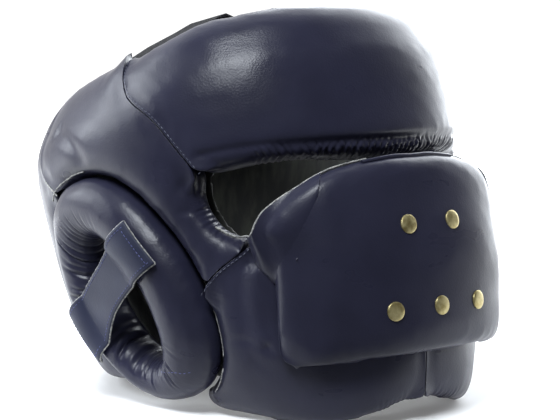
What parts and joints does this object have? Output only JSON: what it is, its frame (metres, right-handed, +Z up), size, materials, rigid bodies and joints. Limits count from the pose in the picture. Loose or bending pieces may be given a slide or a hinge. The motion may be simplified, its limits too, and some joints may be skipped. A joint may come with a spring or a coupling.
{
  "type": "full face head guard",
  "caption": "Padded leather head guard with a thick riveted face bar over nose and mouth, padded ear rings with crossing straps, and a strapped open crown.",
  "frame": {"origin": "middle of the bounding box's bottom, on the floor that the guard stands on", "axes": "-Y the way the face looks, +X the wearer's left, +Z up"},
  "size_m": [0.2436, 0.2842, 0.2186],
  "materials": {
    "leather": "smooth semi-gloss navy",
    "strap_leather": "satin navy",
    "lining": "brushed suede, dark",
    "webbing": "woven, black",
    "brass": "satin"
  },
  "bodies": {
    "root": {"forehead_pad": "leather", "temple_pad_left": "leather", "temple_pad_right": "leather", "jaw_pad_left": "leather", "jaw_pad_right": "leather", "back_pad_left": "leather", "back_pad_right": "leather", "ear_ring_left": "leather", "ear_ring_right": "leather", "face_bar": "leather", "ear_strap_left": "strap_leather", "ear_strap_right": "strap_leather", "closure_strap": "strap_leather", "lining_left": "lining", "lining_right": "lining", "chin_strap": "webbing", "crown_strap_cross": "webbing", "crown_strap_long": "webbing", "rivet_lower_1": "brass", "rivet_lower_2": "brass", "rivet_lower_3": "brass", "rivet_upper_1": "brass", "rivet_upper_2": "brass"}
  },
  "joints": []
}
